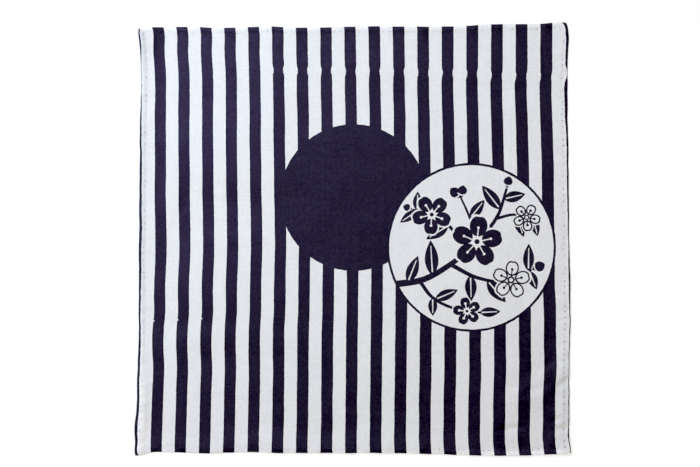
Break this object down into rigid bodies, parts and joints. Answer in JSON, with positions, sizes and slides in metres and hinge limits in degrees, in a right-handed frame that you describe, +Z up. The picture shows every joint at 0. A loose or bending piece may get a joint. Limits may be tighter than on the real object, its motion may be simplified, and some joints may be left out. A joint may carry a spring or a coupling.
{
  "type": "printed cotton pocket square",
  "caption": "Square of thin striped cotton with a narrow turned hem on all sides, lying open and flat with a few soft folds.",
  "frame": {"origin": "middle of the underside of the bounding box, on the surface that the cloth lies on", "axes": "+Z up out of the printed face, +X to the right side of the print, +Y to its top, along the stripes"},
  "size_m": [0.3328, 0.331, 0.004],
  "materials": {
    "printed_cotton": "matt plain-weave cotton, white ground with navy printed stripes"
  },
  "bodies": {
    "root": {"cloth": "printed_cotton"}
  },
  "joints": []
}
